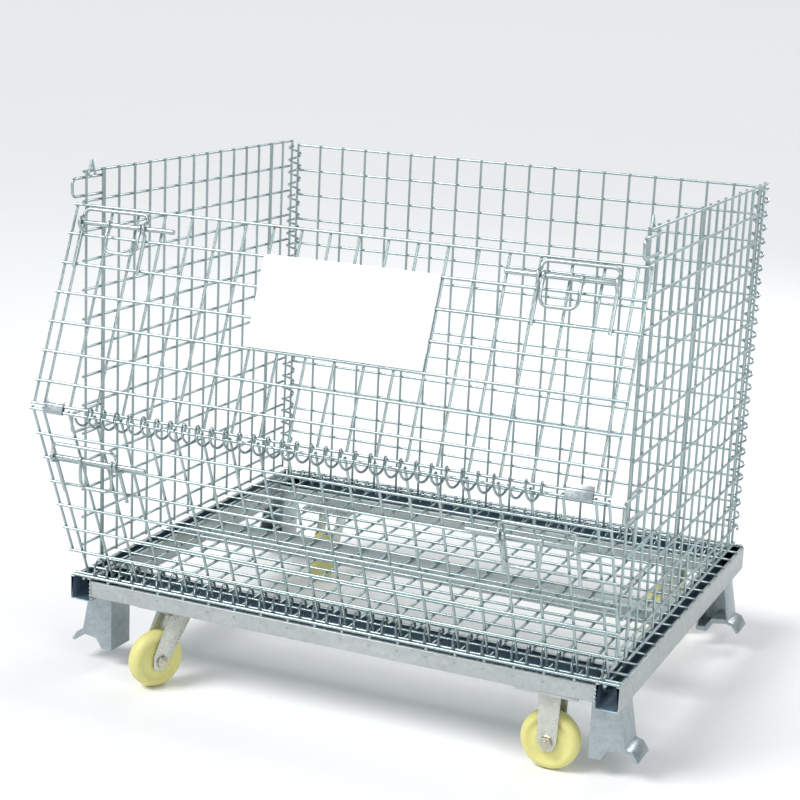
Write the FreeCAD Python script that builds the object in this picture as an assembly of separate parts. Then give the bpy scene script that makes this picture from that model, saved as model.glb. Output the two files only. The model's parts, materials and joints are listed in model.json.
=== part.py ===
import FreeCAD, Part
import math
import os
from FreeCAD import Matrix, Vector

# Collapsible wire mesh container on casters.
# Millimetres. +X to the right, +Y to the back, +Z up.
# Origin: centre of the base, on the floor that the wheels stand on.
# Rest pose: the two-piece front gate is unlatched and buckled outwards at its middle hinge.

# ---- driving dimensions ----
BASE_LENGTH = 1000.0        # along X, over the side rails
BASE_DEPTH = 800.0          # along Y, over the front and rear rails
DECK_Z = 170.0              # top of the rails above the floor
MESH_PITCH = 50.0
PANEL_WIRE_R = 2.25
FLOOR_WIRE_R = 2.5
COIL_WIRE_R = 2.0
COIL_SIDES = 12             # flats round the spirals' wire
COIL_PITCH = 25.0
SHEET = 2.5                 # rail sheet thickness
WIRE_TAIL = 3.0             # wire ends stand this far past the last crossing wire

CELLS_X = 19                # mesh cells across the back panel and the gate
HALF_MESH = CELLS_X * MESH_PITCH / 2
SIDE_PLANE_X = 484.0        # side panels' uprights
BACK_Y = 371.0              # back panel's uprights
SIDE_TOP_Z = DECK_Z + 708.0
BACK_TOP_Z = DECK_Z + 700.0
FLOOR_CROSS_Z = DECK_Z + FLOOR_WIRE_R               # floor wires along Y
FLOOR_LONG_Z = FLOOR_CROSS_Z + 2 * FLOOR_WIRE_R     # floor wires along X, welded on top

# rails
SIDE_RAIL_TOP = DECK_Z + 5.0    # one wire thickness above the front and rear rails
SIDE_RAIL_WIDTH = 40.0
SIDE_RAIL_HEIGHT = 43.0
END_RAIL_WIDTH = 100.0      # front and rear rails
END_RAIL_HEIGHT = 28.0
RAIL_LIP = 7.0

# gate
GATE_PIVOT_Y = -387.0
GATE_PIVOT_Z = DECK_Z + 7.8
LOWER_GATE_HEIGHT = 350.0
ROD_SPACING = 10.0          # between the two rods of the middle hinge
UPPER_GATE_HEIGHT = 338.0
LOWER_TILT = 22.5           # degrees, outwards from upright
UPPER_TILT = 21.74          # degrees, back inwards from upright
GATE_EDGE_X = 495.0

# side panels
SIDE_FRONT_Y = -380.0
SIDE_REAR_Y = 360.0
SIDE_CELLS = 14             # full cells; the last, short one ends at SIDE_REAR_Y
SIDE_BOTTOM_Z = DECK_Z + 24.2       # lowest wire, clear of the back hinge spiral when folded in
SIDE_FRONT_LOW_Z = DECK_Z + 34.0    # the front edge stops above the gate's hinge spiral
LOOP_REACH = 34.0           # latch loops stand this far in front of the panel
LOOP_WIRE_R = 2.5
LOOP_HEIGHTS = ((DECK_Z + 668.0, DECK_Z + 698.0), (DECK_Z + 266.0, DECK_Z + 300.0))
PEAK_HEIGHT = 18.0          # of the bent guide wire above each side panel's front corner

# latches
LATCH_WIRE_R = 3.0
BOLT_R = 4.0
BOLT_LENGTH = 180.0
BRACKET_WIDTH = 122.0
BRACKET_LEG = 100.0
BOLT_DROP = 24.0            # bolt below the bracket's top bar
BOLT_OFFSET = 9.0           # bolt's axis in front of the gate's plane
GRIP_WIDTH = 60.0
GRIP_DROP = 46.0
GRIP_WIRE_R = 2.75
UPPER_BAR = 7.0             # upper brackets' bar below the gate's top wire
LOWER_BAR = 62.0            # lower brackets' bar below the middle hinge
CLEARANCE = 0.35            # between pieces that move past each other

# casters
WHEEL_R = 50.0
WHEEL_WIDTH = 32.0
CASTER_PLATE = (105.0, 84.0, 4.0)
CASTER_TOP_Z = DECK_Z - END_RAIL_HEIGHT
SWIVEL_TRAIL = 41.0
# name, swivel pivot x and y, its heading in degrees clockwise from +Y, fixed caster x and y
CASTER_ROWS = (("front", -316.0, -350.0, 207.0, 381.0, -358.0),
               ("rear", -335.0, 310.0, 180.0, 378.0, 350.0))
KINGPIN_R = 7.0
FORK_SHEET = 3.0
FORK_INNER_HALF = 18.5
AXLE_R = 6.0

# legs
LEG_INNER_X = 444.0
LEG_OUTER_X = 490.0
LEG_FRONT_Y = 357.0
LEG_DEPTH = 60.0
LEG_BOTTOM_Z = 30.0
LEG_SHEET = 3.0

X_AXIS = Vector(1, 0, 0)
Y_AXIS = Vector(0, 1, 0)
Z_AXIS = Vector(0, 0, 1)

os.makedirs("parts", exist_ok=True)


def save(name, solids):
    """Write one node; several solids go in as one compound."""
    shape = solids[0] if len(solids) == 1 else Part.makeCompound(solids)
    shape.exportStep("parts/" + name + ".step")


def rod(start, end, radius):
    """Straight round bar between two points."""
    span = end - start
    return Part.makeCylinder(radius, span.Length, start, span)


def bent_rod(points, radius):
    """Round bar through several points, with ball corners, as one solid."""
    shape = rod(points[0], points[1], radius)
    for first, second in zip(points[1:-1], points[2:]):
        shape = shape.fuse([Part.makeSphere(radius, first), rod(first, second, radius)])
    return shape.removeSplitter()


def box(x0, y0, z0, x1, y1, z1):
    return Part.makeBox(x1 - x0, y1 - y0, z1 - z0, Vector(x0, y0, z0))


def prism(points, direction):
    """Closed outline through the points, pushed out along direction."""
    outline = Part.makePolygon(points + [points[0]])
    return Part.Face(outline).extrude(direction)


def coil(centre, axis, radius, turns, phase, wire_radius=COIL_WIRE_R, pitch=COIL_PITCH):
    """Spiral of separate single turns laid end to end.

    centre is the spiral's first point on its axis; phase is the angle, about the axis, at which
    each turn starts, measured from +Y for a coil along X and from +X for one along Z.
    The wire's section is a regular polygon with the area of the round wire.
    """
    helix = Part.makeHelix(pitch, pitch, radius)
    start = Vector(radius, 0, 0)
    slope = Vector(0, radius, pitch / (2 * math.pi))
    step = 2 * math.pi / COIL_SIDES
    corner_radius = wire_radius * math.sqrt(step / math.sin(step))
    around = Part.makeCircle(corner_radius, start, slope)
    corners = [around.valueAt(step * index) for index in range(COIL_SIDES)]
    section = Part.makePolygon(corners + [corners[0]])
    turn = Part.Wire(helix).makePipeShell([section], True, True)
    turn.rotate(Vector(0, 0, 0), Z_AXIS, phase)
    if axis.x:
        # local X to +Y, local Y to +Z and local Z to +X
        turn = turn.transformGeometry(Matrix(0, 0, 1, 0, 1, 0, 0, 0, 0, 1, 0, 0, 0, 0, 0, 1))
    solids = []
    for index in range(turns):
        piece = turn.copy()
        piece.translate(centre + axis * (pitch * index))
        solids.append(piece)
    return solids


# ---- base ----

def channel_profile(width, height):
    """Open-topped channel with lips, as corner points across and up from its lower left."""
    inside = width - SHEET
    lip_under = height - SHEET
    return [(0, 0), (width, 0), (width, height), (width - RAIL_LIP, height),
            (width - RAIL_LIP, lip_under), (inside, lip_under), (inside, SHEET), (SHEET, SHEET),
            (SHEET, lip_under), (RAIL_LIP, lip_under), (RAIL_LIP, height), (0, height)]


def side_rail(side):
    outer = side * BASE_LENGTH / 2
    low = SIDE_RAIL_TOP - SIDE_RAIL_HEIGHT
    points = [Vector(outer - side * across, -BASE_DEPTH / 2, low + up)
              for across, up in channel_profile(SIDE_RAIL_WIDTH, SIDE_RAIL_HEIGHT)]
    return prism(points, Y_AXIS * BASE_DEPTH)


def end_rail(side):
    """Front (-1) or rear (+1) rail, fitted between the side rails."""
    half = BASE_LENGTH / 2 - SIDE_RAIL_WIDTH
    outer = side * BASE_DEPTH / 2
    low = DECK_Z - END_RAIL_HEIGHT
    points = [Vector(-half, outer - side * across, low + up)
              for across, up in channel_profile(END_RAIL_WIDTH, END_RAIL_HEIGHT)]
    return prism(points, X_AXIS * (2 * half))


def stiffener():
    """Inverted channel under the middle of the floor mesh, between the side rails."""
    half = BASE_LENGTH / 2 - SIDE_RAIL_WIDTH
    half_width = 30.0
    top = FLOOR_CROSS_Z - FLOOR_WIRE_R
    outer = box(-half, -half_width, top - 25, half, half_width, top)
    inner = box(-half, -half_width + SHEET, top - 26, half, half_width - SHEET, top - SHEET)
    return outer.cut(inner)


def floor_mesh():
    """Deck wires along Y on the front and rear rails, with the ones along X on top of them."""
    wires = []
    half_cross = BASE_DEPTH / 2 - 2
    half_long = BASE_LENGTH / 2 - 2
    for index in range(CELLS_X + 1):
        x = -HALF_MESH + MESH_PITCH * index
        wires.append(rod(Vector(x, -half_cross, FLOOR_CROSS_Z), Vector(x, half_cross, FLOOR_CROSS_Z),
                         FLOOR_WIRE_R))
    edge_y = BASE_DEPTH / 2 - FLOOR_WIRE_R
    for y in [-edge_y] + [MESH_PITCH * index for index in range(-7, 8)] + [edge_y]:
        wires.append(rod(Vector(-half_long, y, FLOOR_LONG_Z), Vector(half_long, y, FLOOR_LONG_Z),
                         FLOOR_WIRE_R))
    return wires


def leg(side_x, side_y):
    """Pressed leg: front web, two flanges and a saddle foot with a flared lip."""
    front = LEG_FRONT_Y
    rail_low = SIDE_RAIL_TOP - SIDE_RAIL_HEIGHT
    end_low = DECK_Z - END_RAIL_HEIGHT
    side_inner = BASE_LENGTH / 2 - SIDE_RAIL_WIDTH

    def at(points, y):
        return [Vector(side_x * x, side_y * y, z) for x, z in points]

    outline = [(LEG_INNER_X, end_low), (side_inner, end_low), (side_inner, rail_low),
               (LEG_OUTER_X, rail_low), (504, 56), (474, 52), (462, LEG_BOTTOM_Z + 4),
               (LEG_INNER_X, LEG_BOTTOM_Z + 4)]
    hollow = [(LEG_INNER_X + LEG_SHEET, end_low + 5), (side_inner + 1, end_low + 5),
              (side_inner + 1, rail_low + 5), (LEG_OUTER_X - LEG_SHEET, rail_low + 5),
              (LEG_OUTER_X - LEG_SHEET, rail_low), (500.5, 60), (472, 57), (460, LEG_BOTTOM_Z + 8),
              (LEG_INNER_X + LEG_SHEET, LEG_BOTTOM_Z + 8)]
    saddle = [(LEG_INNER_X, LEG_BOTTOM_Z), (464, LEG_BOTTOM_Z), (476, 48), (500, 52), (512, 49),
              (521, 36), (526, 38), (516, 53), (504, 57), (474, 53), (462, LEG_BOTTOM_Z + 4.5),
              (LEG_INNER_X, LEG_BOTTOM_Z + 4.5)]
    depth = Y_AXIS * (-side_y * LEG_DEPTH)
    body = prism(at(outline, front), depth)
    body = body.cut(prism(at(hollow, front - LEG_SHEET), depth))
    return body.fuse(prism(at(saddle, front), depth)).removeSplitter()


# ---- mesh panels ----

def mesh_rows(top, count):
    return [top - MESH_PITCH * index for index in range(count)]


def back_panel():
    """Uprights with the cross wires on their outer side."""
    rows = mesh_rows(BACK_TOP_Z, 14) + [DECK_Z + 8.0]
    row_y = BACK_Y + 2 * PANEL_WIRE_R
    wires = [rod(Vector(-HALF_MESH - WIRE_TAIL, row_y, z), Vector(HALF_MESH + WIRE_TAIL, row_y, z),
                 PANEL_WIRE_R) for z in rows]
    for index in range(CELLS_X + 1):
        x = -HALF_MESH + MESH_PITCH * index
        wires.append(rod(Vector(x, BACK_Y, rows[-1] - PANEL_WIRE_R),
                         Vector(x, BACK_Y, BACK_TOP_Z + WIRE_TAIL), PANEL_WIRE_R))
    return wires


def side_panel(side):
    """Uprights with the cross wires on their outer side, two doubled bars and a bent guide wire."""
    x = side * SIDE_PLANE_X
    row_x = x + side * 2 * PANEL_WIRE_R
    front = SIDE_FRONT_Y - PANEL_WIRE_R
    second = SIDE_FRONT_Y + MESH_PITCH
    wires = [rod(Vector(row_x, front, z), Vector(row_x, SIDE_REAR_Y, z), PANEL_WIRE_R)
             for z in mesh_rows(SIDE_TOP_Z, 14)]
    wires.append(rod(Vector(row_x, second - WIRE_TAIL, SIDE_BOTTOM_Z),
                     Vector(row_x, SIDE_REAR_Y, SIDE_BOTTOM_Z), PANEL_WIRE_R))
    low = SIDE_BOTTOM_Z - PANEL_WIRE_R
    uprights = [(SIDE_FRONT_Y + MESH_PITCH * index, low) for index in range(1, SIDE_CELLS + 1)]
    uprights += [(SIDE_FRONT_Y, SIDE_FRONT_LOW_Z), (SIDE_REAR_Y, low)]
    # each doubled bar lies against the upright next to it
    doubled = second + 2 * PANEL_WIRE_R, second + 12 * MESH_PITCH + 2 * PANEL_WIRE_R
    uprights += [(y, low) for y in doubled]
    for y, bottom in uprights:
        wires.append(rod(Vector(x, y, bottom), Vector(x, y, SIDE_TOP_Z + WIRE_TAIL), PANEL_WIRE_R))
    foot = SIDE_FRONT_Y + 6
    wires.append(bent_rod([Vector(x, foot, SIDE_TOP_Z - 6), Vector(x, foot + 10, SIDE_TOP_Z + PEAK_HEIGHT),
                           Vector(x, foot + 20, SIDE_TOP_Z - 6)], PANEL_WIRE_R))
    return wires


def latch_loops(side):
    """Two flat loops that stand out of the side panel's front edge."""
    x = side * (SIDE_PLANE_X + PANEL_WIRE_R + LOOP_WIRE_R)
    tip_y = SIDE_FRONT_Y - LOOP_REACH
    root_y = SIDE_FRONT_Y + MESH_PITCH + 2
    return [bent_rod([Vector(x, root_y, high), Vector(x, tip_y, high), Vector(x, tip_y, low),
                      Vector(x, root_y, low)], LOOP_WIRE_R) for low, high in LOOP_HEIGHTS]


def gate_frame(tilt, pivot):
    """Function that puts (x, out, up) of a gate half into the object's frame.

    up runs along the gate from its pivot, out is the distance in front of its cross wires.
    """
    angle = math.radians(tilt)

    def place(x, out, up):
        return Vector(x, pivot.y - up * math.sin(angle) - out * math.cos(angle),
                      pivot.z + up * math.cos(angle) - out * math.sin(angle))
    return place


def gate_mesh(place, low, edge_low, high, rows):
    """Cross wires at the given rows, with uprights on their inner side; low and high end them."""
    half = GATE_EDGE_X + WIRE_TAIL
    inner = -2 * PANEL_WIRE_R
    wires = [rod(place(-half, 0, up), place(half, 0, up), PANEL_WIRE_R) for up in rows]
    for index in range(CELLS_X + 1):
        x = -HALF_MESH + MESH_PITCH * index
        wires.append(rod(place(x, inner, low), place(x, inner, high), PANEL_WIRE_R))
    for x in (-GATE_EDGE_X, GATE_EDGE_X):
        wires.append(rod(place(x, inner, edge_low), place(x, inner, high), PANEL_WIRE_R))
    return wires


def hinge_clip(place, start, length):
    """Folded sheet clip around both rods of the middle hinge, with its seam standing on top."""
    wall = 1.6

    def sleeve(radius, first, last):
        side = [place(first, -radius, 0), place(first, radius, 0), place(first, radius, ROD_SPACING),
                place(first, -radius, ROD_SPACING)]
        web = prism(side, X_AXIS * (last - first))
        ends = [rod(place(first, 0, up), place(last, 0, up), radius) for up in (0, ROD_SPACING)]
        return web.fuse(ends)

    inner = PANEL_WIRE_R + CLEARANCE
    seam_low = ROD_SPACING + inner + wall / 2
    seam = prism([place(start, -wall / 2, seam_low), place(start, wall / 2, seam_low),
                  place(start, wall / 2, seam_low + 7), place(start, -wall / 2, seam_low + 7)],
                 X_AXIS * length)
    outer = sleeve(inner + wall, start, start + length)
    return outer.fuse(seam).cut(sleeve(inner, start - 1, start + length + 1))


# ---- latches ----

def latch_bracket(place, centre_x, bar):
    """Bent wire welded to the gate: top bar, and two legs kinked into eyes that hold the bolt."""
    rise = PANEL_WIRE_R + LATCH_WIRE_R
    eye = BOLT_OFFSET + BOLT_R + LATCH_WIRE_R + CLEARANCE
    bolt = bar - BOLT_DROP
    leg = [(rise, bar), (rise, bolt + 12), (eye, bolt + 4), (eye, bolt - 4), (rise, bolt - 12),
           (rise, bar - BRACKET_LEG)]
    left = [place(centre_x - BRACKET_WIDTH / 2, out, up) for out, up in reversed(leg)]
    right = [place(centre_x + BRACKET_WIDTH / 2, out, up) for out, up in leg]
    return [bent_rod(left + right, LATCH_WIRE_R)]


def latch_bolt(place, centre_x, bar, side):
    """Round bolt, drawn back until its outer end is level with the outer bracket leg."""
    outer = centre_x + side * (BRACKET_WIDTH / 2 + LATCH_WIRE_R)
    inner = outer - side * BOLT_LENGTH
    up = bar - BOLT_DROP
    return [rod(place(inner, BOLT_OFFSET, up), place(outer, BOLT_OFFSET, up), BOLT_R)]


def latch_grip(place, centre_x, bar, side, swing):
    """Wire grip that hangs from the bolt; swing is its angle away from the gate, in degrees."""
    bolt = bar - BOLT_DROP
    near = centre_x - side * (BRACKET_WIDTH / 2 - 8)
    far = near + side * GRIP_WIDTH
    angle = math.radians(swing)

    def hang(x, out, drop):
        """Point of the grip, with out and drop measured square to and along its legs."""
        turned_out = out * math.cos(angle) + drop * math.sin(angle)
        turned_drop = drop * math.cos(angle) - out * math.sin(angle)
        return place(x, BOLT_OFFSET + turned_out, bolt - turned_drop)

    drops = [(0, BOLT_R + GRIP_WIRE_R + 1), (4, 17), (2, GRIP_DROP - 8)]
    grip = bent_rod([hang(near, out, drop) for out, drop in drops]
                    + [hang(near + side * 6, 1, GRIP_DROP), hang(far - side * 6, 1, GRIP_DROP)]
                    + [hang(far, out, drop) for out, drop in reversed(drops)], GRIP_WIRE_R)
    for x in (near, far):
        grip = grip.fuse(rod(hang(x - GRIP_WIRE_R, 0, 0), hang(x + GRIP_WIRE_R, 0, 0), BOLT_R + 3.5))
    hole = rod(hang(min(near, far) - 10, 0, 0), hang(max(near, far) + 10, 0, 0), BOLT_R + 0.08)
    return [grip.cut(hole)]


# ---- casters ----

def turned(shape, x, y, heading):
    """Turn a caster piece, made with its trail along +Y at the origin, and set it in place."""
    shape.rotate(Vector(0, 0, 0), Z_AXIS, -heading)
    shape.translate(Vector(x, y, 0))
    return shape


def caster_plate():
    length, depth, thick = CASTER_PLATE
    plate = box(-length / 2, -depth / 2, CASTER_TOP_Z - thick, length / 2, depth / 2, CASTER_TOP_Z)
    for sx in (-1, 1):
        for sy in (-1, 1):
            hole = Part.makeCylinder(4.5, 20, Vector(sx * 40, sy * 32, CASTER_TOP_Z - 10))
            plate = plate.cut(hole)
    return plate


def fork(trail, top_z):
    """Bent sheet fork: round-cornered top and two arms down to the axle."""
    axle_z = WHEEL_R
    outer = FORK_INNER_HALF + FORK_SHEET
    tip = math.sin(math.radians(45)) * 15
    side_view = [(-24, top_z), (24, top_z), (trail + 15, axle_z + tip), (trail + 15, axle_z - tip),
                 (trail + tip, axle_z - 15), (trail - tip, axle_z - 15), (trail - 15, axle_z)]
    if trail == 0:
        side_view = [(-19, top_z), (19, top_z), (16, axle_z), (9, axle_z - 15), (-9, axle_z - 15),
                     (-16, axle_z)]
    points = [Vector(-outer, y, z) for y, z in side_view]
    block = prism(points, X_AXIS * (2 * outer))
    gap = box(-FORK_INNER_HALF, -100, 0, FORK_INNER_HALF, 100, top_z - FORK_SHEET)
    bore = Part.makeCylinder(AXLE_R + 0.05, 80, Vector(-40, trail, axle_z), X_AXIS)
    return block.cut(gap).cut(bore)


def axle(trail):
    """Axle bolt with its head and nut outside the fork arms."""
    outer = FORK_INNER_HALF + FORK_SHEET
    shank = Part.makeCylinder(AXLE_R, 2 * outer + 16, Vector(-outer - 8, trail, WHEEL_R), X_AXIS)
    hexagon = [Vector(-outer - 7.1, trail + 11 * math.cos(math.radians(60 * k)),
                      WHEEL_R + 11 * math.sin(math.radians(60 * k))) for k in range(6)]
    head = prism(hexagon, X_AXIS * 7)
    nut = head.copy()
    nut.translate(X_AXIS * (2 * outer + 7.2))
    return shank.fuse([head, nut]).removeSplitter()


def wheel(trail):
    """Crowned solid wheel with a bore for its bearing."""
    half = WHEEL_WIDTH / 2
    start = Vector(-half, 0, 14.3)
    profile = [start, Vector(-half, 0, 40), Vector(-half + 5, 0, 47.5)]
    crown = Part.Arc(Vector(-half + 5, 0, 47.5), Vector(0, 0, WHEEL_R), Vector(half - 5, 0, 47.5))
    closing = [Vector(half - 5, 0, 47.5), Vector(half, 0, 40), Vector(half, 0, 14.3), start]
    edges = Part.makePolygon(profile).Edges + [crown.toShape()] + Part.makePolygon(closing).Edges
    body = Part.Face(Part.Wire(edges)).revolve(Vector(0, 0, 0), X_AXIS, 360)
    body.translate(Vector(0, trail, WHEEL_R))
    return body


def bearing(trail):
    """Bearing bush in the wheel, a running fit on the axle."""
    start = Vector(-WHEEL_WIDTH / 2 - 1, trail, WHEEL_R)
    outer = Part.makeCylinder(14.2, WHEEL_WIDTH + 2, start, X_AXIS)
    return outer.cut(Part.makeCylinder(AXLE_R + 0.06, WHEEL_WIDTH + 4, start - X_AXIS, X_AXIS))


def swivel_plate(fork_top):
    """Top plate with its kingpin and the pin's nut under the fork."""
    nut_z = fork_top - FORK_SHEET - CLEARANCE - 4
    kingpin = Part.makeCylinder(KINGPIN_R, CASTER_TOP_Z - 1 - nut_z, Vector(0, 0, nut_z))
    nut = Part.makeCylinder(11, 4, Vector(0, 0, nut_z))
    return caster_plate().fuse([kingpin, nut]).removeSplitter()


def build_casters():
    """Swivel casters on the left, fixed ones on the right."""
    plate_low = CASTER_TOP_Z - CASTER_PLATE[2]
    fork_top = plate_low - 7
    pin_hole = Part.makeCylinder(KINGPIN_R + CLEARANCE, 30, Vector(0, 0, fork_top - 10))
    for row, swivel_x, swivel_y, heading, fixed_x, fixed_y in CASTER_ROWS:
        ring = Part.makeCylinder(23, 7 - CLEARANCE, Vector(0, 0, fork_top))
        swivel = {"fork": fork(SWIVEL_TRAIL, fork_top).cut(pin_hole), "axle": axle(SWIVEL_TRAIL),
                  "wheel": wheel(SWIVEL_TRAIL), "bearing": bearing(SWIVEL_TRAIL)}
        for piece, shape in swivel.items():
            save("swivel_" + piece + "_" + row, [turned(shape, swivel_x, swivel_y, heading)])
        save("dust_ring_" + row, [turned(ring.cut(pin_hole), swivel_x, swivel_y, heading)])
        save("swivel_plate_" + row, [turned(swivel_plate(fork_top), swivel_x, swivel_y, 0)])

        fixed = {"fork": fork(0, plate_low), "axle": axle(0), "wheel": wheel(0), "bearing": bearing(0)}
        for piece, shape in fixed.items():
            save("fixed_" + piece + "_" + row, [turned(shape, fixed_x, fixed_y, 90)])
        save("fixed_plate_" + row, [turned(caster_plate(), fixed_x, fixed_y, 0)])


# ---- whole object ----

def build_base():
    for name, side in (("left", -1), ("right", 1)):
        save("side_rail_" + name, [side_rail(side)])
        for end, side_y in (("front", -1), ("rear", 1)):
            save("leg_" + end + "_" + name, [leg(side, side_y)])
    save("front_rail", [end_rail(-1)])
    save("rear_rail", [end_rail(1)])
    save("floor_stiffener", [stiffener()])
    save("floor_mesh", floor_mesh())


def build_panels():
    save("back_panel", back_panel())
    for name, side in (("left", -1), ("right", 1)):
        save("side_panel_" + name, side_panel(side))
        save("latch_loops_" + name, latch_loops(side))
        # spiral around the back panel's end upright and the side panel's rear upright; its start
        # angle keeps it clear of the cross wires of both panels
        axis_x = side * (HALF_MESH + SIDE_PLANE_X) / 2
        turns = 26
        start = Vector(axis_x, (BACK_Y + SIDE_REAR_Y) / 2, BACK_TOP_Z - turns * COIL_PITCH)
        save("corner_coil_" + name, coil(start, Z_AXIS, 11.75, turns, 340 if side > 0 else 285))


def build_hinge_coils():
    """Spirals along the bottoms of the back panel and of the gate, each around a floor wire."""
    turns = int(2 * HALF_MESH / COIL_PITCH)
    # the back spiral is one turn shorter at each end, clear of the side rails' inner webs
    back_axis = Vector(COIL_PITCH - HALF_MESH, (BACK_Y + 2 * PANEL_WIRE_R + 350.0) / 2, DECK_Z - 1.0)
    save("back_hinge_coil", coil(back_axis, X_AXIS, 20.0, turns - 2, -90))
    gate_axis = Vector(-HALF_MESH, (GATE_PIVOT_Y - 350.0) / 2, (GATE_PIVOT_Z + FLOOR_LONG_Z) / 2)
    save("gate_hinge_coil", coil(gate_axis, X_AXIS, 23.1, turns, -90))


def build_gate():
    """Lower and upper halves of the gate, their middle hinge, the sign plate and the latches."""
    lower = gate_frame(LOWER_TILT, Vector(0, GATE_PIVOT_Y, GATE_PIVOT_Z))
    upper = gate_frame(-UPPER_TILT, lower(0, 0, LOWER_GATE_HEIGHT))

    lower_rows = [LOWER_GATE_HEIGHT - MESH_PITCH * index for index in range(8)]
    save("lower_gate_mesh", gate_mesh(lower, -PANEL_WIRE_R, 45.0, LOWER_GATE_HEIGHT + 1, lower_rows))
    top = ROD_SPACING + UPPER_GATE_HEIGHT
    upper_rows = [ROD_SPACING] + [top - MESH_PITCH * index for index in range(7)]
    save("upper_gate_mesh", gate_mesh(upper, ROD_SPACING - 1, ROD_SPACING - 1, top + WIRE_TAIL, upper_rows))

    save("middle_hinge_coil", coil(lower(-400.0, 0, LOWER_GATE_HEIGHT), X_AXIS, 14.6, 32, 180))
    save("hinge_clip_left", [hinge_clip(upper, -470.0, 36.0)])
    save("hinge_clip_right", [hinge_clip(upper, 428.5, 43.0)])

    thick = 3.0
    sign = Part.makeBox(303, thick, 151)
    sign.rotate(Vector(0, 0, 0), X_AXIS, -UPPER_TILT)
    sign.translate(upper(-128.0, PANEL_WIRE_R + thick, top - 198.0))
    save("sign_plate", [sign])

    latches = (("upper_left", upper, -410.0, top - UPPER_BAR, -1, 0.0),
               ("upper_right", upper, 392.0, top - UPPER_BAR, 1, 0.0),
               ("lower_left", lower, -407.0, LOWER_GATE_HEIGHT - LOWER_BAR, -1, LOWER_TILT),
               ("lower_right", lower, 384.0, LOWER_GATE_HEIGHT - LOWER_BAR, 1, LOWER_TILT))
    for name, place, centre_x, bar, side, swing in latches:
        save("latch_bracket_" + name, latch_bracket(place, centre_x, bar))
        save("latch_bolt_" + name, latch_bolt(place, centre_x, bar, side))
        save("latch_grip_" + name, latch_grip(place, centre_x, bar, side, swing))


build_base()
build_panels()
build_hinge_coils()
build_gate()
build_casters()
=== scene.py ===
"""Looks of a collapsible wire mesh container on casters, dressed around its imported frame."""

import json
import logging
import math
from dataclasses import dataclass, field
from enum import Enum

import bpy
from mathutils import Matrix, Vector


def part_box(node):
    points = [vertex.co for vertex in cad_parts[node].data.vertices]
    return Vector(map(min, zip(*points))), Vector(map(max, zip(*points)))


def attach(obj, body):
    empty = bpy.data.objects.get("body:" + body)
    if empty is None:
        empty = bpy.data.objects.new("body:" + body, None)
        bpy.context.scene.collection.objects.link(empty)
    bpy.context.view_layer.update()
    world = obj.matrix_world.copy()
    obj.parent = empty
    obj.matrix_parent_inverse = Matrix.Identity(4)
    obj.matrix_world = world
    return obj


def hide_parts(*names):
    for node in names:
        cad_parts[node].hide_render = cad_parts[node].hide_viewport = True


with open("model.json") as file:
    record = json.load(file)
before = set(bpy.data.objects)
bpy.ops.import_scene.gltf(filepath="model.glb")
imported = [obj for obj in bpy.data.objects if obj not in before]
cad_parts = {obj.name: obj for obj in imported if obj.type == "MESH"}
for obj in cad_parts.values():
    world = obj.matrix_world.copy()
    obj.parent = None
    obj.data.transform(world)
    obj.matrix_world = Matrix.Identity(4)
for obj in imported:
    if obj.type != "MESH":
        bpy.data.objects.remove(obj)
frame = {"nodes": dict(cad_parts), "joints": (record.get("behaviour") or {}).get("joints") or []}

LOG = logging.getLogger("container")
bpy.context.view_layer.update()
MM = 0.001
BEND_FACETS = 5

Colour = tuple[float, float, float]
Place = tuple[float, float, float]
Profile = list[tuple[float, float]]


class Surface(Enum):
    """Families of finish, each with its own node recipe."""

    WIRE = "bright zinc wire"
    SHEET = "galvanised sheet"
    PLASTIC = "moulded plastic"
    PAINT = "sprayed paint"


class Row(Enum):
    """The two rows of casters and of legs."""

    FRONT = "front"
    REAR = "rear"


class Hand(Enum):
    """Left and right, with the sign of X on that side."""

    LEFT = -1
    RIGHT = 1

    @property
    def word(self) -> str:
        """The word used in node names."""
        return self.name.lower()


# ---------------------------------------------------------------- finishes


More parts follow.
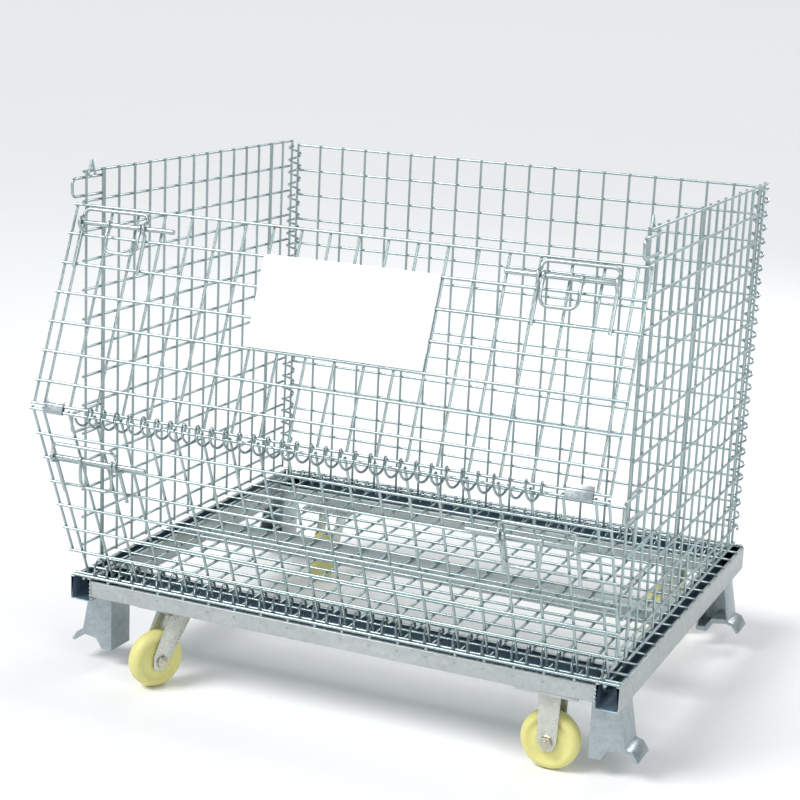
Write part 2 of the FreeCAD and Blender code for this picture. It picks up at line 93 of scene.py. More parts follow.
@dataclass(frozen=True)
class Finish:
    """One surface finish: its colours, gloss and the size of its detail."""

    name: str
    surface: Surface
    light: Colour
    dark: Colour
    metallic: float = 0.0
    rough_low: float = 0.3
    rough_high: float = 0.5
    cloud_scale: float = 9.0
    grain_scale: float = 240.0
    cloud_share: float = 0.75
    grain_share: float = 0.35
    bump: float = 0.15
    spot: Colour = (0.30, 0.16, 0.08)
    spot_amount: float = 0.0

    def build(self) -> bpy.types.Material:
        """Make the node material.

        Returns:
            The finished material.
        """
        material = bpy.data.materials.new(self.name)
        material.use_nodes = True
        tree = material.node_tree
        shader = tree.nodes["Principled BSDF"]
        shader.inputs["Metallic"].default_value = self.metallic
        place = tree.nodes.new("ShaderNodeTexCoord").outputs["Object"]
        cloud = self.noise(tree, place, self.cloud_scale, 4.0)
        grain = self.noise(tree, place, self.grain_scale, 3.0)
        soft = self.arithmetic(tree, "MULTIPLY", cloud, self.cloud_share)
        blend = self.arithmetic(tree, "MULTIPLY_ADD", grain, self.grain_share, soft)
        colour = self.mix(tree, blend, self.dark, self.light)
        if self.surface is Surface.SHEET:
            colour = self.spangle(tree, place, colour)
        if self.spot_amount > 0:
            colour = self.spots(tree, place, colour)
        tree.links.new(colour, shader.inputs["Base Color"])
        rough = tree.nodes.new("ShaderNodeMapRange")
        rough.inputs["From Min"].default_value = 0.3
        rough.inputs["From Max"].default_value = 0.7
        rough.inputs["To Min"].default_value = self.rough_low
        rough.inputs["To Max"].default_value = self.rough_high
        tree.links.new(grain, rough.inputs["Value"])
        tree.links.new(rough.outputs["Result"], shader.inputs["Roughness"])
        bump = tree.nodes.new("ShaderNodeBump")
        bump.inputs["Strength"].default_value = self.bump
        bump.inputs["Distance"].default_value = 0.4 * MM
        tree.links.new(grain, bump.inputs["Height"])
        tree.links.new(bump.outputs["Normal"], shader.inputs["Normal"])
        if self.surface is Surface.PAINT:
            shader.inputs["Coat Weight"].default_value = 0.25
            shader.inputs["Coat Roughness"].default_value = 0.2
        return material

    def noise(self, tree: bpy.types.NodeTree, place: bpy.types.NodeSocket, scale: float,
              detail: float) -> bpy.types.NodeSocket:
        """Add a noise pattern on the object's own coordinates.

        Args:
            tree: the material's nodes.
            place: coordinates to read.
            scale: pattern scale per metre.
            detail: octaves of detail.

        Returns:
            The pattern's value socket.
        """
        node = tree.nodes.new("ShaderNodeTexNoise")
        node.inputs["Scale"].default_value = scale
        node.inputs["Detail"].default_value = detail
        tree.links.new(place, node.inputs["Vector"])
        return node.outputs["Fac"]

    def arithmetic(self, tree: bpy.types.NodeTree, operation: str, first: bpy.types.NodeSocket,
                   second: float, third: bpy.types.NodeSocket | None = None) -> bpy.types.NodeSocket:
        """Add one arithmetic node.

        Args:
            tree: the material's nodes.
            operation: the node's operation.
            first: socket for the first value.
            second: the second value.
            third: socket for the third value, if the operation takes one.

        Returns:
            The result's socket.
        """
        node = tree.nodes.new("ShaderNodeMath")
        node.operation = operation
        tree.links.new(first, node.inputs[0])
        node.inputs[1].default_value = second
        if third is not None:
            tree.links.new(third, node.inputs[2])
        return node.outputs["Value"]

    def mix(self, tree: bpy.types.NodeTree, factor: bpy.types.NodeSocket, low: Colour | bpy.types.NodeSocket,
            high: Colour) -> bpy.types.NodeSocket:
        """Blend a colour or a colour socket into a second colour.

        Args:
            tree: the material's nodes.
            factor: how much of the second colour.
            low: first colour, as numbers or as a socket.
            high: second colour.

        Returns:
            The blended colour's socket.
        """
        node = tree.nodes.new("ShaderNodeMix")
        node.data_type = "RGBA"
        tree.links.new(factor, node.inputs["Factor"])
        sides = [socket for socket in node.inputs if socket.type == "RGBA"]
        if isinstance(low, bpy.types.NodeSocket):
            tree.links.new(low, sides[0])
        else:
            sides[0].default_value = (*low, 1.0)
        sides[1].default_value = (*high, 1.0)
        return [socket for socket in node.outputs if socket.type == "RGBA"][0]

    def spangle(self, tree: bpy.types.NodeTree, place: bpy.types.NodeSocket,
                colour: bpy.types.NodeSocket) -> bpy.types.NodeSocket:
        """Lay the faint crystal pattern of hot galvanising over a colour.

        Args:
            tree: the material's nodes.
            place: coordinates to read.
            colour: the colour underneath.

        Returns:
            The colour with the crystals.
        """
        cells = tree.nodes.new("ShaderNodeTexVoronoi")
        cells.inputs["Scale"].default_value = 130.0
        tree.links.new(place, cells.inputs["Vector"])
        tone = tree.nodes.new("ShaderNodeSeparateColor")
        tree.links.new(cells.outputs["Color"], tone.inputs["Color"])
        share = self.arithmetic(tree, "MULTIPLY", tone.outputs["Red"], 0.22)
        return self.mix(tree, share, colour, tuple(0.55 * part for part in self.dark))

    def spots(self, tree: bpy.types.NodeTree, place: bpy.types.NodeSocket,
              colour: bpy.types.NodeSocket) -> bpy.types.NodeSocket:
        """Scatter small stains over a colour.

        Args:
            tree: the material's nodes.
            place: coordinates to read.
            colour: the colour underneath.

        Returns:
            The stained colour.
        """
        pattern = self.noise(tree, place, 26.0, 5.0)
        ramp = tree.nodes.new("ShaderNodeMapRange")
        ramp.inputs["From Min"].default_value = 0.74 - self.spot_amount
        ramp.inputs["From Max"].default_value = 0.80 - self.spot_amount
        tree.links.new(pattern, ramp.inputs["Value"])
        return self.mix(tree, ramp.outputs["Result"], colour, self.spot)


WIRE = Finish("bright_zinc_wire", Surface.WIRE, (0.52, 0.62, 0.62), (0.20, 0.27, 0.28), 0.90, 0.22, 0.42)
GATE_WIRE = Finish("bright_zinc_gate_wire", Surface.WIRE, (0.52, 0.62, 0.62), (0.20, 0.27, 0.28), 0.90,
                   0.22, 0.42, spot_amount=0.02)
SPIRAL_WIRE = Finish("drawn_spiral_wire", Surface.WIRE, (0.46, 0.54, 0.55), (0.13, 0.18, 0.20), 0.90,
                     0.18, 0.36)
LATCH_WIRE = Finish("latch_bar_zinc", Surface.WIRE, (0.58, 0.66, 0.66), (0.24, 0.30, 0.31), 0.85, 0.22,
                    0.42, grain_scale=160.0)
RAIL = Finish("galvanised_rail", Surface.SHEET, (0.60, 0.64, 0.62), (0.34, 0.38, 0.39), 0.55, 0.34, 0.55,
              cloud_scale=6.0)
# Painted shade and painted reflection: the dark blue-grey on the rails' inner faces stands in for the shade
# and dark reflections inside the channels.
PAINTED_CHANNEL_SHADE = Finish("channel_inside_painted_shade", Surface.SHEET, (0.22, 0.31, 0.38), (0.10, 0.16, 0.22), 0.65, 0.30,
                 0.50, cloud_scale=6.0)
LEG = Finish("galvanised_leg", Surface.SHEET, (0.56, 0.62, 0.63), (0.24, 0.30, 0.34), 0.75, 0.26, 0.46)
FORK = Finish("passivated_fork", Surface.SHEET, (0.70, 0.72, 0.65), (0.46, 0.49, 0.45), 0.70, 0.22, 0.42,
              cloud_scale=14.0)
AXLE = Finish("passivated_bolt", Surface.WIRE, (0.66, 0.62, 0.50), (0.34, 0.31, 0.25), 0.85, 0.2, 0.4)
NYLON = Finish("cream_nylon", Surface.PLASTIC, (0.72, 0.69, 0.27), (0.62, 0.58, 0.20), 0.0, 0.36, 0.55,
               cloud_scale=20.0, bump=0.08)
BEARING = Finish("dark_bearing_steel", Surface.WIRE, (0.30, 0.31, 0.32), (0.10, 0.10, 0.11), 0.8, 0.3, 0.5)
RED_RING = Finish("red_dust_ring", Surface.PLASTIC, (0.72, 0.09, 0.06), (0.48, 0.04, 0.03), 0.0, 0.3, 0.5)
SIGN = Finish("white_sign_paint", Surface.PAINT, (0.92, 0.97, 0.97), (0.86, 0.92, 0.93), 0.0, 0.32, 0.46,
              bump=0.05)
FLOOR = Finish("pale_studio_floor", Surface.PAINT, (0.90, 0.90, 0.90), (0.87, 0.87, 0.87), 0.0, 0.8, 0.9,
               cloud_scale=0.4, grain_scale=3.0, bump=0.0)


@dataclass
class PaintShop:
    """Builds each finish once and puts it on objects."""

    made: dict[str, bpy.types.Material] = field(default_factory=dict)

    def dress(self, target: bpy.types.Object, finish: Finish) -> None:
        """Give an object one finish all over.

        Args:
            target: the object to dress.
            finish: the finish to use.
        """
        if finish.name not in self.made:
            self.made[finish.name] = finish.build()
        if target.material_slots:
            for slot in target.material_slots:
                slot.link = "OBJECT"
                slot.material = self.made[finish.name]
        else:
            target.data.materials.append(self.made[finish.name])

    def add(self, target: bpy.types.Object, finish: Finish) -> None:
        """Give an object a further material slot, for some of its faces.

        Args:
            target: the object.
            finish: the finish of the new slot.
        """
        if finish.name not in self.made:
            self.made[finish.name] = finish.build()
        target.data.materials.append(self.made[finish.name])

    def node(self, name: str, finish: Finish) -> None:
        """Dress a CAD node that stays as it is.

        Args:
            name: the node.
            finish: the finish to use.
        """
        self.dress(frame["nodes"][name], finish)
        LOG.info("dressed %s in %s", name, finish.name)


# ---------------------------------------------------------------- modelling helpers


def clear_selection() -> None:
    """Leave edit mode and deselect everything."""
    if bpy.context.object and bpy.context.object.mode != "OBJECT":
        bpy.ops.object.mode_set(mode="OBJECT")
    bpy.ops.object.select_all(action="DESELECT")


def make_active(target: bpy.types.Object) -> None:
    """Select one object alone and make it the active one.

    Args:
        target: the object.
    """
    clear_selection()
    target.select_set(True)
    bpy.context.view_layer.objects.active = target


def settle(target: bpy.types.Object, turn: Matrix) -> None:
    """Move a finished mesh into place, leaving its object at the origin.

    Args:
        target: the object.
        turn: its place and turn in the row frame.
    """
    target.data.transform(turn)
    target.data.update()
    target.matrix_world = Matrix.Identity(4)


def smooth(target: bpy.types.Object, degrees: float = 35.0) -> None:
    """Shade an object smooth across its shallow edges.

    Args:
        target: the object.
        degrees: edges sharper than this stay sharp.
    """
    make_active(target)
    bpy.ops.object.shade_smooth_by_angle(angle=math.radians(degrees))


def lathe(name: str, profile: Profile, segments: int = 48) -> bpy.types.Object:
    """Turn a closed ring about the local Z axis from an outline.

    Args:
        name: the new object's name.
        profile: radius and height, in metres, of each ring in order round the section.
        segments: facets round the axis.

    Returns:
        The object, at the origin.
    """
    clear_selection()
    radius, height = profile[0]
    bpy.ops.mesh.primitive_circle_add(vertices=segments, radius=radius, location=(0, 0, height))
    target = bpy.context.object
    target.name = name
    bpy.ops.object.transform_apply(location=True, rotation=True, scale=True)
    bpy.ops.object.mode_set(mode="EDIT")
    bpy.ops.mesh.select_all(action="SELECT")
    for (old_radius, old_height), (radius, height) in zip(profile, profile[1:]):
        bpy.ops.mesh.extrude_region_move(TRANSFORM_OT_translate={"value": (0, 0, height - old_height)})
        scale = radius / old_radius
        bpy.ops.transform.resize(value=(scale, scale, 1), center_override=(0, 0, height))
    bpy.ops.object.mode_set(mode="OBJECT")
    count = segments
    total = len(target.data.vertices)
    for vertex in target.data.vertices:
        vertex.select = vertex.index < count or vertex.index >= total - count
    bpy.ops.object.mode_set(mode="EDIT")
    bpy.ops.mesh.select_mode(type="VERT")
    bpy.ops.mesh.bridge_edge_loops()
    bpy.ops.mesh.select_all(action="SELECT")
    bpy.ops.mesh.normals_make_consistent(inside=False)
    bpy.ops.object.mode_set(mode="OBJECT")
    return target


def add_bevel(target: bpy.types.Object, width: float, segments: int = 2) -> None:
    """Round the sharp edges of an object and apply the rounding.

    Args:
        target: the object.
        width: width of the rounding.
        segments: facets across the rounding.
    """
    make_active(target)
    bevel = target.modifiers.new("soft_edges", "BEVEL")
    bevel.width = width
    bevel.segments = segments
    bevel.limit_method = "ANGLE"
    bevel.angle_limit = math.radians(40)
    bevel.harden_normals = False
    bpy.ops.object.modifier_apply(modifier=bevel.name)


def soft_copy(node: str, body: str, width: float, segments: int = 2) -> bpy.types.Object:
    """Copy a CAD node, merge its triangles into faces and round its edges.

    Args:
        node: the CAD node that the copy stands for.
        body: the body that it rides on.
        width: width of the rounding.
        segments: facets across the rounding.

    Returns:
        The new piece.
    """
    clear_selection()
    source = frame["nodes"][node]
    target = bpy.data.objects.new(node + "_soft", source.data.copy())
    bpy.context.scene.collection.objects.link(target)
    make_active(target)
    bpy.ops.object.mode_set(mode="EDIT")
    bpy.ops.mesh.select_all(action="SELECT")
    bpy.ops.mesh.remove_doubles(threshold=0.00002)
    bpy.ops.mesh.dissolve_limited(angle_limit=math.radians(1.5))
    bpy.ops.object.mode_set(mode="OBJECT")
    add_bevel(target, width, segments)
    smooth(target, 50)
    target.data.materials.clear()
    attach(target, body)
    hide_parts(node)
    return target


def joined(name: str, parts: list[bpy.types.Object]) -> bpy.types.Object:
    """Join several objects into one piece.

    Args:
        name: the piece's name.
        parts: the objects, which are used up.

    Returns:
        The joined piece.
    """
    clear_selection()
    for part in parts:
        part.select_set(True)
    bpy.context.view_layer.objects.active = parts[0]
    bpy.ops.object.join()
    target = bpy.context.object
    target.name = name
    return target


def bent_wire(name: str, points: list[Vector], bends: list[float], radius: float) -> bpy.types.Object:
    """Round wire along straight runs with rounded bends between them.

    Args:
        name: the new piece's name.
        points: ends and corners of the runs, in order.
        bends: how far from each corner its bend starts.
        radius: half the wire's thickness.

    Returns:
        The wire, closed at both ends.
    """
    clear_selection()
    bpy.ops.mesh.primitive_plane_add(size=radius, location=points[0])
    target = bpy.context.object
    target.name = name
    bpy.ops.object.transform_apply(location=True, rotation=True, scale=True)
    bpy.ops.object.mode_set(mode="EDIT")
    bpy.ops.mesh.select_mode(type="VERT")
    bpy.ops.mesh.select_all(action="SELECT")
    bpy.ops.mesh.merge(type="CENTER")
    for start, end in zip(points, points[1:]):
        bpy.ops.mesh.extrude_vertices_move(TRANSFORM_OT_translate={"value": end - start})
    for corner, bend in zip(points[1:], bends):
        bpy.ops.mesh.select_all(action="DESELECT")
        bpy.ops.object.mode_set(mode="OBJECT")
        for vertex in target.data.vertices:
            vertex.select = (vertex.co - corner).length < 0.01 * MM
        bpy.ops.object.mode_set(mode="EDIT")
        bpy.ops.mesh.bevel(offset=bend, segments=BEND_FACETS, affect="VERTICES")
    bpy.ops.object.mode_set(mode="OBJECT")
    bpy.ops.object.convert(target="CURVE")
    target.data.bevel_depth = radius
    target.data.bevel_resolution = 3
    target.data.use_fill_caps = True
    bpy.ops.object.convert(target="MESH")
    bpy.ops.object.mode_set(mode="EDIT")
    bpy.ops.mesh.select_all(action="SELECT")
    bpy.ops.mesh.remove_doubles(threshold=0.01 * MM)
    bpy.ops.mesh.normals_make_consistent(inside=False)
    bpy.ops.object.mode_set(mode="OBJECT")
    smooth(target, 50)
    return target


def weld_bead(radius: float, flat: float) -> bpy.types.Object:
    """Small uneven bead of weld metal about the origin.

    Args:
        radius: its radius.
        flat: its height as a share of its radius.

    Returns:
        The bead.
    """
    clear_selection()
    bpy.ops.mesh.primitive_ico_sphere_add(subdivisions=1, radius=radius)
    bead = bpy.context.object
    bpy.ops.object.mode_set(mode="EDIT")
    bpy.ops.mesh.select_all(action="SELECT")
    bpy.ops.transform.resize(value=(1, flat, 1), center_override=(0, 0, 0))
    bpy.ops.object.mode_set(mode="OBJECT")
    return bead


def scatter(name: str, seed: bpy.types.Object, places: list[Vector]) -> bpy.types.Object:
    """Copy a small shape to many places as one piece.

    Args:
        name: the piece's name.
        seed: the shape, about the origin, which is used up.
        places: where each copy goes.

    Returns:
        The piece.
    """
    copies = []
    for place in places:
        copy = bpy.data.objects.new(name + "_copy", seed.data.copy())
        bpy.context.scene.collection.objects.link(copy)
        copy.data.transform(Matrix.Translation(place))
        copies.append(copy)
    bpy.data.objects.remove(seed)
    piece = joined(name, copies)
    smooth(piece, 80)
    return piece


# ---------------------------------------------------------------- sub-assemblies


@dataclass
class Base:
    """Rails, legs and floor of the container."""

    shop: PaintShop
    rail_round: float = 1.6 * MM
    leg_round: float = 1.8 * MM
    sheet: float = 2.4 * MM
    weld_pitch: float = 50 * MM
    weld_count: int = 18
    weld_height: float = 0.66
    side_rail_inner: float = 460 * MM
    beads_under: int = 5
    first_bead_y: float = 397 * MM
    bead_step_under: float = 22 * MM
    beads_under_z: float = 138.5 * MM
    bead_waver: float = 0.6 * MM
    beads_up: int = 4
    first_bead_z: float = 145 * MM
    bead_step_up: float = 6.5 * MM
    bead_face_y: float = 399.5 * MM

    def build(self) -> None:
        """Model and dress the whole base."""
        for node in ("side_rail_left", "side_rail_right", "front_rail", "rear_rail", "floor_stiffener"):
            piece = soft_copy(node, "base", self.rail_round)
            self.finish(piece, RAIL, "galvanised_rail")
            if node != "floor_stiffener":
                self.paint_channel_shade(piece)
        for row in Row:
            for hand in Hand:
                piece = soft_copy(f"leg_{row.value}_{hand.word}", "base", self.leg_round, 3)
                self.finish(piece, LEG, "galvanised_leg")
        self.shop.node("floor_mesh", WIRE)
        self.rail_welds()
        self.corner_welds()

    def finish(self, piece: bpy.types.Object, finish: Finish, slot: str) -> None:
        """Dress a new piece and log it.

        Args:
            piece: the piece.
            finish: its finish.
            slot: not used.
        """
        self.shop.dress(piece, finish)
        LOG.info("built %s", piece.name)

    def paint_channel_shade(self, piece: bpy.types.Object) -> None:
        """Give the inner faces of an open-topped channel a darker, duller zinc: painted shade and painted
        reflection inside the channel.

        Args:
            piece: the rail.
        """
        self.shop.add(piece, PAINTED_CHANNEL_SHADE)
        corners = [Vector(corner) for corner in piece.bound_box]
        low = Vector(min(corner[axis] for corner in corners) for axis in range(3))
        high = Vector(max(corner[axis] for corner in corners) for axis in range(3))
        across = 0 if high.x - low.x < high.y - low.y else 1
        # Faces inside the channel take the second slot, the painted shade.
        for face in piece.data.polygons:
            within = low[across] + self.sheet < face.center[across] < high[across] - self.sheet
            between = low.z + self.sheet / 2 < face.center.z < high.z - self.sheet / 2
            if within and between:
                face.material_index = 1

    def rail_welds(self) -> None:
        """Row of spot weld marks along the front and rear faces, one under each floor wire."""
        for row, node, outward in ((Row.FRONT, "front_rail", -1), (Row.REAR, "rear_rail", 1)):
            low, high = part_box(node)
            face_y = low.y if outward < 0 else high.y
            height = low.z + self.weld_height * (high.z - low.z)
            start = -self.weld_pitch * (self.weld_count - 1) / 2
            places = [Vector((start + self.weld_pitch * index, face_y, height))
                      for index in range(self.weld_count)]
            piece = scatter(f"rail_weld_marks_{row.value}", weld_bead(2.6 * MM, 0.28), places)
            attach(piece, "base")
            self.finish(piece, LATCH_WIRE, "galvanised_rail")

    def corner_welds(self) -> None:
        """Beads where the end rails and the legs meet the side rails."""
        places = []
        for hand in Hand:
            inner = self.side_rail_inner * hand.value
            for front in (-1, 1):
                for index in range(self.beads_under):
                    offset = (self.first_bead_y - self.bead_step_under * index) * front
                    height = self.beads_under_z + self.bead_waver * (index % 2)
                    places.append(Vector((inner, offset, height)))
                for index in range(self.beads_up):
                    height = self.first_bead_z + self.bead_step_up * index
                    places.append(Vector((inner, self.bead_face_y * front, height)))
        piece = scatter("corner_weld_beads", weld_bead(3.4 * MM, 0.8), places)
        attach(piece, "base")
        self.finish(piece, LATCH_WIRE, "galvanised_rail")


@dataclass
class Cage:
    """Back and side panels with their spiral hinges and latch loops."""

    shop: PaintShop
    loop_heights: tuple[tuple[float, float], ...] = ((838 * MM, 868 * MM), (436 * MM, 470 * MM))
    loop_x: float = 488.75 * MM
    loop_root_y: float = -328 * MM
    loop_tip_y: float = -414 * MM
    loop_bend: float = 9 * MM
    loop_wire: float = 2.5 * MM
    spirals: tuple[str, ...] = ("back_hinge_coil", "corner_coil_left", "corner_coil_right", "gate_hinge_coil")

    def build(self) -> None:
        """Dress the panels."""
        self.shop.node("back_panel", WIRE)
        for name in self.spirals:
            self.shop.node(name, SPIRAL_WIRE)
        for hand in Hand:
            self.shop.node(f"side_panel_{hand.word}", WIRE)
            self.loops(hand)

    def loops(self, hand: Hand) -> None:
        """Bend the two latch loops at the front of a side panel.

        Args:
            hand: which side panel.
        """
        x = hand.value * self.loop_x
        name = f"latch_loop_bends_{hand.word}"
        bends = [self.loop_bend, self.loop_bend]
        wires = []
        for low, high in self.loop_heights:
            corners = ((self.loop_root_y, high), (self.loop_tip_y, high), (self.loop_tip_y, low),
                       (self.loop_root_y, low))
            run = [Vector((x, y, z)) for y, z in corners]
            wires.append(bent_wire(name, run, bends, self.loop_wire))
        piece = joined(name, wires)
        self.shop.dress(piece, LATCH_WIRE)
        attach(piece, f"{hand.word}_side")
        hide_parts(f"latch_loops_{hand.word}")
        LOG.info("built %s", piece.name)


@dataclass(frozen=True)
class GateHalf:
    """Plane of one half of the gate, hinged along X at its foot."""

    tilt: float
    pivot_y: float
    pivot_z: float

    def place(self, x: float, out: float, up: float) -> Vector:
        """Point of the gate in the row frame.

        Args:
            x: place along the gate.
            out: distance in front of its cross wires.
            up: distance along the gate from its foot.

        Returns:
            The point.
        """
        sine, cosine = math.sin(math.radians(self.tilt)), math.cos(math.radians(self.tilt))
        return Vector((x, self.pivot_y - up * sine - out * cosine, self.pivot_z + up * cosine - out * sine))


@dataclass
class Latch:
    """One latch: bent wire bracket, round bolt and the grip that hangs from it."""

    shop: PaintShop
    level: str
    hand: Hand
    half: GateHalf
    centre: float
    bar: float
    swing: float
    width: float = 122 * MM
    drop: float = 24 * MM
    offset: float = 9 * MM
    rise: float = 5.25 * MM
    eye_out: float = 16.35 * MM
    leg: float = 100 * MM
    bracket_wire: float = 3 * MM
    grip_width: float = 60 * MM
    grip_drop: float = 46 * MM
    grip_wire: float = 2.75 * MM

    def build(self) -> None:
        """Model and dress the three pieces."""
        place = f"{self.level}_{self.hand.word}"
        gate = f"{self.level}_gate"
        bracket = self.bracket(f"latch_bracket_bend_{place}")
        self.finish(bracket, gate, f"latch_bracket_{place}", "zinc_latch")
        grip = self.grip(f"latch_grip_bend_{place}")
        self.finish(grip, f"grip_{place}", f"latch_grip_{place}", "zinc_latch")
        bolt = soft_copy(f"latch_bolt_{place}", f"bolt_{place}", 1.6 * MM, 3)
        self.shop.dress(bolt, LATCH_WIRE)

    def finish(self, piece: bpy.types.Object, body: str, node: str, slot: str) -> None:
        """Dress a wire piece, hang it on its body and hide the CAD node it stands for.

        Args:
            piece: the piece.
            body: the body it rides on.
            node: the CAD node it stands for.
            slot: not used.
        """
        self.shop.dress(piece, LATCH_WIRE)
        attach(piece, body)
        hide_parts(node)
        LOG.info("built %s", piece.name)

    def bracket(self, name: str) -> bpy.types.Object:
        """Bend the bracket's wire: top bar and two legs kinked round the bolt.

        Args:
            name: the piece's name.

        Returns:
            The piece.
        """
        rise, eye, bolt = self.rise, self.eye_out, self.bar - self.drop
        wide, narrow = 12 * MM, 4 * MM
        leg = [(rise, self.bar), (rise, bolt + wide), (eye, bolt + narrow), (eye, bolt - narrow),
               (rise, bolt - wide), (rise, self.bar - self.leg)]
        left = [self.half.place(self.centre - self.width / 2, out, up) for out, up in reversed(leg)]
        right = [self.half.place(self.centre + self.width / 2, out, up) for out, up in leg]
        kink, corner = 2.5 * MM, 10.5 * MM
        bends = [kink] * 4 + [corner, corner] + [kink] * 4
        return bent_wire(name, left + right, bends, self.bracket_wire)

    def grip(self, name: str) -> bpy.types.Object:
        """Bend the grip's wire into a U and put an eye on each of its ends.

        Args:
            name: the piece's name.

        Returns:
            The piece.
        """
        side = self.hand.value
        near = self.centre - side * (self.width / 2 - 8 * MM)
        far = near + side * self.grip_width
        legs = [(0, 4 * MM), (4 * MM, 17 * MM), (1 * MM, self.grip_drop)]
        run = [self.hang(near, out, drop) for out, drop in legs]
        run += [self.hang(far, out, drop) for out, drop in reversed(legs)]
        wire = bent_wire(name, run, [6 * MM, 14 * MM, 14 * MM, 6 * MM], self.grip_wire)
        eyes = [self.eye(self.hang(x, 0, 0)) for x in (near, far)]
        return joined(name, [wire] + eyes)

    def hang(self, x: float, out: float, drop: float) -> Vector:
        """Point of the grip, turned about the bolt.

        Args:
            x: place along the bolt.
            out: distance in front of the grip's plane.
            drop: distance below the bolt.

        Returns:
            The point in the row frame.
        """
        sine, cosine = math.sin(math.radians(self.swing)), math.cos(math.radians(self.swing))
        return self.half.place(x, self.offset + out * cosine + drop * sine,
                               self.bar - self.drop - drop * cosine + out * sine)

    def eye(self, centre: Vector) -> bpy.types.Object:
        """Ring of flattened wire round the bolt.

        Args:
            centre: its middle, on the bolt's axis.

        Returns:
            The ring.
        """
        inner, outer, half = 4.1 * MM, 7.4 * MM, 2.6 * MM
        edge = 0.9 * MM
        section = [(inner, -half + edge), (inner + edge, -half), (outer - edge, -half), (outer, -half + edge),
                   (outer, half - edge), (outer - edge, half), (inner + edge, half), (inner, half - edge)]
        ring = lathe("grip_eye", section, 28)
        along = Vector((1, 0, 0)).to_track_quat("Z", "Y").to_matrix().to_4x4()
        settle(ring, Matrix.Translation(centre) @ along)
        smooth(ring, 50)
        return ring


@dataclass
class Gate:
    """Both halves of the gate, their hinge, clips, latches and the sign plate."""

    shop: PaintShop
    clip_round: float = 0.5 * MM
    sign_round: float = 0.9 * MM
    lower: GateHalf = GateHalf(22.5, -0.387, 0.1778)
    lower_height: float = 350 * MM
    top: float = 348 * MM
    upper_tilt: float = -21.74
    upper_bar: float = 7 * MM
    lower_bar: float = 62 * MM

    def build(self) -> None:
        """Model and dress the gate."""
        self.shop.node("lower_gate_mesh", GATE_WIRE)
        self.shop.node("upper_gate_mesh", GATE_WIRE)
        self.shop.node("middle_hinge_coil", SPIRAL_WIRE)
        for hand in Hand:
            piece = soft_copy(f"hinge_clip_{hand.word}", "upper_gate", self.clip_round)
            self.shop.dress(piece, LEG)
            LOG.info("built %s", piece.name)
        sign = soft_copy("sign_plate", "upper_gate", self.sign_round, 3)
        self.shop.dress(sign, SIGN)
        LOG.info("built %s", sign.name)
        joint = self.lower.place(0, 0, self.lower_height)
        upper = GateHalf(self.upper_tilt, joint.y, joint.z)
        high, low = self.top - self.upper_bar, self.lower_height - self.lower_bar
        for latch in (Latch(self.shop, "upper", Hand.LEFT, upper, -410 * MM, high, 0),
                      Latch(self.shop, "upper", Hand.RIGHT, upper, 392 * MM, high, 0),
                      Latch(self.shop, "lower", Hand.LEFT, self.lower, -407 * MM, low, self.lower.tilt),
                      Latch(self.shop, "lower", Hand.RIGHT, self.lower, 384 * MM, low, self.lower.tilt)):
            latch.build()


@dataclass
class Caster:
    """One caster: plate, fork, wheel, bearing and axle, and a dust ring if it swivels."""

    shop: PaintShop
    row: Row
    swivels: bool
    wheel_radius: float = 50 * MM
    half_width: float = 16 * MM
    bore: float = 14.4 * MM

    @property
    def kind(self) -> str:
        """The word that starts this caster's node names."""
        return "swivel" if self.swivels else "fixed"

    def build(self) -> None:
        """Model and dress the caster."""
        row = self.row.value
        holder = f"swivel_{row}" if self.swivels else "base"
        for part, body, finish, width in (("fork", holder, FORK, 1.1), ("plate", "base", RAIL, 1.0),
                                          ("axle", holder, AXLE, 0.7)):
            piece = soft_copy(f"{self.kind}_{part}_{row}", body, width * MM)
            self.shop.dress(piece, finish)
        if self.swivels:
            ring = soft_copy(f"dust_ring_{row}", holder, 1.6 * MM, 3)
            self.shop.dress(ring, RED_RING)
        self.build_wheel()

    def build_wheel(self) -> None:
        """Turn the wheel and its bearing and set them on the axle."""
        row = self.row.value
        low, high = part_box(f"{self.kind}_wheel_{row}")
        centre = (low + high) / 2
        spin = next(j for j in frame["joints"] if j["name"] == f"{self.kind}_roll_{row}")
        turn = Vector(spin["axis"]).to_track_quat("Z", "Y").to_matrix().to_4x4()
        place = Matrix.Translation(centre) @ turn
        w, r = self.half_width, self.wheel_radius
        half = [(self.bore, -w), (21 * MM, -w), (23 * MM, -w + 2 * MM), (33 * MM, -w + 3 * MM),
                (36 * MM, -w + 1 * MM), (41 * MM, -w + 0.4 * MM), (45.5 * MM, -w + 3.2 * MM),
                (48.2 * MM, -w + 7 * MM), (r - 0.35 * MM, -w + 11 * MM)]
        tread = [(r - 0.2 * MM, 0.0)]
        profile = half + tread + [(radius, -height) for radius, height in reversed(half)]
        wheel = lathe(f"{self.kind}_wheel_rim_{row}", profile, 64)
        settle(wheel, place)
        smooth(wheel, 40)
        self.shop.dress(wheel, NYLON)
        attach(wheel, f"{self.kind}_wheel_{row}")
        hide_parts(f"{self.kind}_wheel_{row}")
        hub = [(6.1 * MM, -w - 1 * MM), (9 * MM, -w - 1 * MM), (10 * MM, -w + 0.2 * MM),
               (12.6 * MM, -w + 0.2 * MM), (13.2 * MM, -w - 0.6 * MM), (14.2 * MM, -w - 0.2 * MM)]
        section = hub + [(radius, -height) for radius, height in reversed(hub)]
        bearing = lathe(f"{self.kind}_bearing_ring_{row}", section, 48)
        settle(bearing, place)
        smooth(bearing, 30)
        self.shop.dress(bearing, BEARING)
        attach(bearing, f"{self.kind}_wheel_{row}")
        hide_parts(f"{self.kind}_bearing_{row}")
        LOG.info("built %s and %s", wheel.name, bearing.name)


# ---------------------------------------------------------------- studio


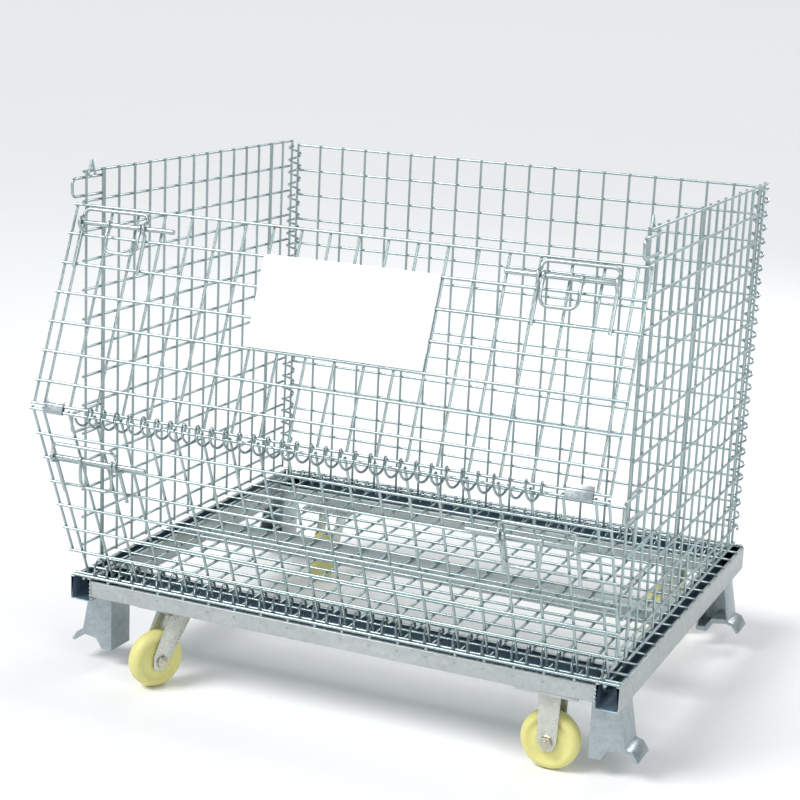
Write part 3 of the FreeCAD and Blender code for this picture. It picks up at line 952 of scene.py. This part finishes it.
@dataclass
class Studio:
    """Floor, lights and camera."""

    shop: PaintShop
    eye: Vector = field(default_factory=lambda: Vector((1.196, -2.896, 1.2325)))
    azimuth: float = 23.50
    elevation: float = 13.582
    roll: float = 2.638
    lens: float = 80.7
    floor_half: float = 150.0
    world_strength: float = 0.42
    sun_strength: float = 2.7

    def build(self) -> None:
        """Set up the floor, the lights and the camera."""
        self.build_floor()
        self.build_lights()
        self.build_camera()

    def build_floor(self) -> None:
        """Wide pale floor under the wheels."""
        clear_selection()
        bpy.ops.mesh.primitive_plane_add(size=2 * self.floor_half, location=(0, 0, -0.0005))
        floor = bpy.context.object
        floor.name = "studio_floor"
        self.shop.dress(floor, FLOOR)

    def build_lights(self) -> None:
        """Even pale surroundings, a broad sun for the highlights and two soft fills."""
        world = bpy.data.worlds.new("studio_world")
        bpy.context.scene.world = world
        world.use_nodes = True
        backdrop = world.node_tree.nodes["Background"]
        backdrop.inputs["Color"].default_value = (0.92, 0.96, 1.0, 1.0)
        backdrop.inputs["Strength"].default_value = self.world_strength
        bpy.context.scene.view_settings.view_transform = "Standard"
        data = bpy.data.lights.new("key_light", "SUN")
        data.energy = self.sun_strength
        data.angle = math.radians(28)
        self.aim(data, (-2.4, -2.6, 4.2))
        for name, place, size, power in (("fill_light", (3.2, -2.2, 2.2), 1.6, 40.0),
                                         ("rim_light", (0.8, 3.0, 3.0), 1.8, 60.0)):
            data = bpy.data.lights.new(name, "AREA")
            data.size = size
            data.energy = power
            self.aim(data, place)

    def aim(self, data: bpy.types.Light, place: Place) -> None:
        """Hang a light and turn it towards the middle of the object.

        Args:
            data: the light.
            place: where it hangs.
        """
        light = bpy.data.objects.new(data.name, data)
        bpy.context.scene.collection.objects.link(light)
        light.location = place
        towards = Vector((0, 0, 0.45)) - Vector(place)
        light.rotation_euler = towards.to_track_quat("-Z", "Y").to_euler()

    def build_camera(self) -> None:
        """Camera in front of the object and to its right, a little above it, with a slight roll."""
        a, e, roll = (math.radians(angle) for angle in (self.azimuth, self.elevation, self.roll))
        forward = Vector((-math.sin(a) * math.cos(e), math.cos(a) * math.cos(e), -math.sin(e)))
        level = Vector((math.cos(a), math.sin(a), 0))
        upright = level.cross(forward)
        right = math.cos(roll) * level + math.sin(roll) * upright
        above = -math.sin(roll) * level + math.cos(roll) * upright
        turn = Matrix((right, above, -forward)).transposed().to_4x4()
        data = bpy.data.cameras.new("view_camera")
        data.lens = self.lens
        data.sensor_width = 36.0
        data.clip_end = 400.0
        camera = bpy.data.objects.new("view_camera", data)
        bpy.context.scene.collection.objects.link(camera)
        camera.matrix_world = Matrix.Translation(self.eye) @ turn
        bpy.context.scene.camera = camera


def main() -> None:
    """Build every sub-assembly in order."""
    logging.basicConfig(level=logging.INFO, format="%(name)s: %(message)s")
    shop = PaintShop()
    Base(shop).build()
    Cage(shop).build()
    Gate(shop).build()
    for row in Row:
        for swivels in (True, False):
            Caster(shop, row, swivels).build()
    Studio(shop).build()


if __name__ == "__main__":
    main()
